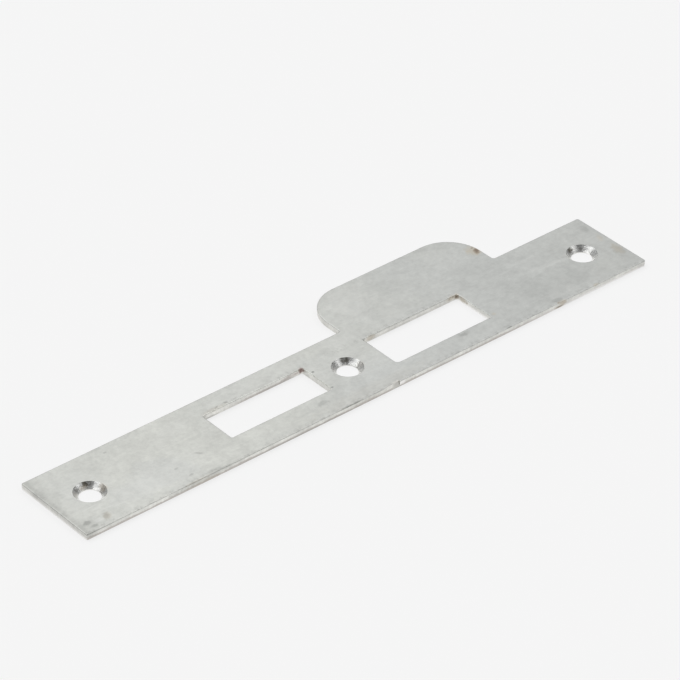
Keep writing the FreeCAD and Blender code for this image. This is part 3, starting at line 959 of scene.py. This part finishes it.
def make_light(studio):
    """A white room with two soft boxes, two dim patches and a dim band low down."""
    world = bpy.data.worlds.new("studio")
    world.use_nodes = True
    tree = world.node_tree
    tree.nodes.clear()
    along = add_node(tree, "ShaderNodeTexCoord").outputs["Generated"]
    group = soft_patch_group()
    level = ROOM_LEVEL
    for centre, half_angle, softness, power in SOFT_BOXES.values():
        mask = soft_patch(tree, group, along, centre, half_angle, softness)
        level = calc(tree, "ADD", level, calc(tree, "MULTIPLY", mask, power))
    for centre, half_angle, softness, power in DIM_PATCHES.values():
        mask = soft_patch(tree, group, along, centre, half_angle, softness)
        level = calc(tree, "MULTIPLY", level, rest_of(tree, calc(tree, "MULTIPLY", mask, power)))
    low, high, power = LOW_BAND
    upward = add_node(tree, "ShaderNodeSeparateXYZ", {0: along}).outputs["Z"]
    band = ease(tree, upward, math.sin(math.radians(low)), math.sin(math.radians(high)), 1.0 - power, 1.0)
    level = calc(tree, "MAXIMUM", calc(tree, "MULTIPLY", level, band), DARKEST_LEVEL)
    background = add_node(tree, "ShaderNodeBackground", {"Color": level, "Strength": studio.light_level})
    add_node(tree, "ShaderNodeOutputWorld", {"Surface": background.outputs[0]})
    bpy.context.scene.world = world


def floor_material(studio):
    """A translucent floor: what is seen of it is partly lit from below, so that the shadow on it is faint."""
    material, tree = new_material("pale_floor")
    color = (*studio.floor_color, 1.0)
    lit = add_node(tree, "ShaderNodeBsdfDiffuse", {"Color": color}).outputs[0]
    glow = add_node(tree, "ShaderNodeEmission", {"Color": color}).outputs[0]
    rays = add_node(tree, "ShaderNodeLightPath").outputs
    seen = max_all(tree, rays["Is Camera Ray"], rays["Is Glossy Ray"], rays["Is Transmission Ray"])
    share = calc(tree, "MULTIPLY", seen, studio.floor_glow)
    mixed = add_node(tree, "ShaderNodeMixShader", {0: share, 1: lit, 2: glow}).outputs[0]
    add_node(tree, "ShaderNodeOutputMaterial", {"Surface": mixed})
    return material


def make_floor(studio):
    """A wide pale floor under the plate's back face."""
    half = studio.floor_width / 2
    mesh = bpy.data.meshes.new("floor")
    corners = [(-half, -half, 0.0), (half, -half, 0.0), (half, half, 0.0), (-half, half, 0.0)]
    mesh.from_pydata(corners, [], [(0, 1, 2, 3)])
    floor = bpy.data.objects.new("floor", mesh)
    floor.location.z = PLATE_LOW.z - FLOOR_GAP
    bpy.context.scene.collection.objects.link(floor)
    mesh.materials.append(floor_material(studio))


def make_camera(studio):
    """The camera at the photograph's place, aim and lens."""
    camera_data = bpy.data.cameras.new("camera")
    camera_data.sensor_width = 36.0
    camera_data.lens = studio.focal_length
    camera_data.clip_start = 0.01
    camera = bpy.data.objects.new("camera", camera_data)
    place, aim = Vector(studio.camera_place), Vector(studio.camera_aim)
    camera.location = place
    turn = (aim - place).to_track_quat("-Z", "Y").to_matrix().to_4x4()
    camera.rotation_euler = turn.to_euler()
    camera.rotation_euler.rotate_axis("Z", studio.camera_roll)
    bpy.context.scene.collection.objects.link(camera)
    bpy.context.scene.camera = camera


class STRIKEPLATE_OT_finish_plate(Operator):
    """Give the blanked plate its worn zinc finish"""

    bl_idname = "strikeplate.finish_plate"
    bl_label = "Finish Plate"

    def execute(self, context):
        material = zinc_material(context.scene.plate_finish)
        for slot in PLATE.material_slots:
            slot.material = material
        return {"FINISHED"}


class STRIKEPLATE_OT_set_stage(Operator):
    """Set the floor, the studio light and the camera"""

    bl_idname = "strikeplate.set_stage"
    bl_label = "Set Stage"

    def execute(self, context):
        studio = context.scene.plate_studio
        make_floor(studio)
        make_light(studio)
        make_camera(studio)
        context.scene.view_settings.view_transform = "Standard"
        return {"FINISHED"}


class STRIKEPLATE_PT_sidebar(Panel):
    """Strike plate tools in the sidebar"""

    bl_idname = "STRIKEPLATE_PT_sidebar"
    bl_label = "Strike Plate"
    bl_space_type = "VIEW_3D"
    bl_region_type = "UI"
    bl_category = "Strike Plate"

    def draw(self, context):
        layout = self.layout
        for operator, group in (
            (STRIKEPLATE_OT_finish_plate, context.scene.plate_finish),
            (STRIKEPLATE_OT_set_stage, context.scene.plate_studio),
        ):
            box = layout.box()
            for name in group.__annotations__:
                box.prop(group, name)
            box.operator(operator.bl_idname)


CLASSES = (
    PlateFinish,
    Studio,
    STRIKEPLATE_OT_finish_plate,
    STRIKEPLATE_OT_set_stage,
    STRIKEPLATE_PT_sidebar,
)


def register():
    for cls in CLASSES:
        bpy.utils.register_class(cls)
    bpy.types.Scene.plate_finish = PointerProperty(type=PlateFinish)
    bpy.types.Scene.plate_studio = PointerProperty(type=Studio)


def unregister():
    del bpy.types.Scene.plate_studio
    del bpy.types.Scene.plate_finish
    for cls in reversed(CLASSES):
        bpy.utils.unregister_class(cls)


def main():
    register()
    bpy.ops.strikeplate.finish_plate()
    bpy.ops.strikeplate.set_stage()


if __name__ == "__main__":
    main()
